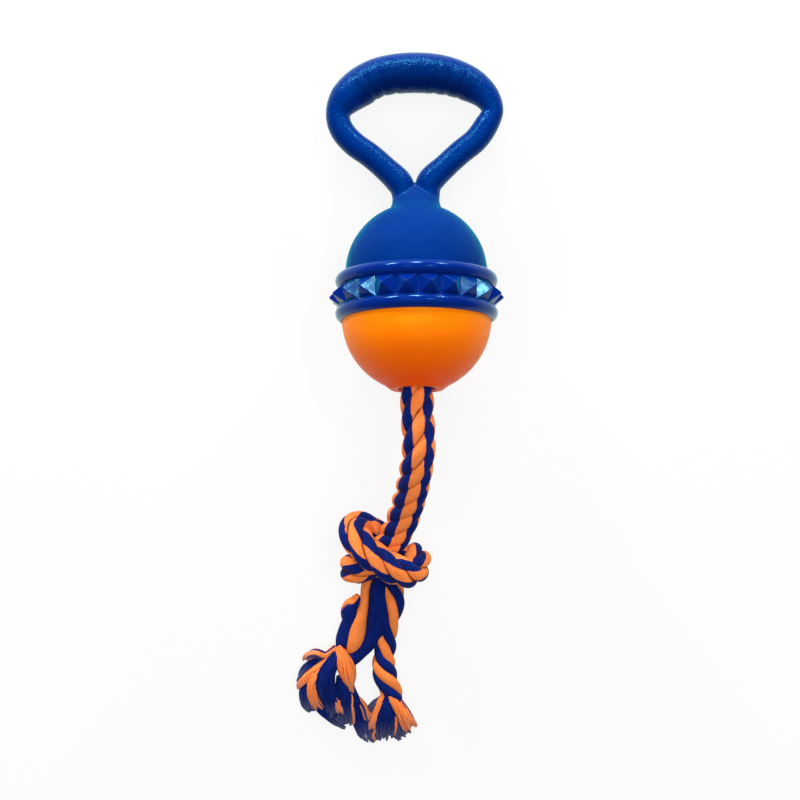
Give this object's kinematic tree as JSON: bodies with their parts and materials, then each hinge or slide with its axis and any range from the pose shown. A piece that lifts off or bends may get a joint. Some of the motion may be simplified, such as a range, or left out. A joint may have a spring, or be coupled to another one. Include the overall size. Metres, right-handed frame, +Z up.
{
  "type": "throw and tug toy ball",
  "caption": "Hollow rubber ball with a toothed band and two beads round its middle, a loop handle on one side, and a knotted rope with frayed tails on the other.",
  "frame": {"origin": "on the floor, under the middle of the box round the ball and its handle, with the rope left out", "axes": "+Y from the rope towards the handle, +X across the handle, +Z up; the toy lies at rest on its handle's bar and its two lowest teeth"},
  "size_m": [0.0997, 0.3365, 0.0785],
  "materials": {
    "blue_rubber": "satin, fine pebbled on the handle",
    "orange_rubber": "satin",
    "cotton_rope": "laid cotton yarn, orange and navy"
  },
  "bodies": {
    "ball": {"handle_loop": "blue_rubber", "dome_shell": "blue_rubber", "tooth_ring": "blue_rubber", "lower_shell": "orange_rubber"},
    "rope_anchor": {"rope_stopper": "cotton_rope", "rope_throat": "cotton_rope"},
    "rope": {"rope_run": "cotton_rope", "rope_knot": "cotton_rope"},
    "tail_left": {"left_tail": "cotton_rope", "left_tuft": "cotton_rope"},
    "tail_right": {"right_tail": "cotton_rope", "right_tuft": "cotton_rope"}
  },
  "joints": [
    {"name": "rope_spin", "type": "hinge", "parent": "ball", "child": "rope_anchor", "pos_m": [0, -0.07571, 0.05085], "axis": [0, 0.9619, -0.2733], "continuous": true},
    {"name": "rope_swing", "type": "hinge", "parent": "rope_anchor", "child": "rope", "pos_m": [0, -0.08365, 0.0531], "axis": [1, 0, 0], "range_deg": [-90, 0]},
    {"name": "left_tail_swing", "type": "hinge", "parent": "rope", "child": "tail_left", "pos_m": [-0.0208, -0.18361, 0.011], "axis": [0, 0, 1], "range_deg": [-45, 0]},
    {"name": "right_tail_swing", "type": "hinge", "parent": "rope", "child": "tail_right", "pos_m": [-0.0086, -0.18361, 0.011], "axis": [0, 0, 1], "range_deg": [0, 60]}
  ]
}
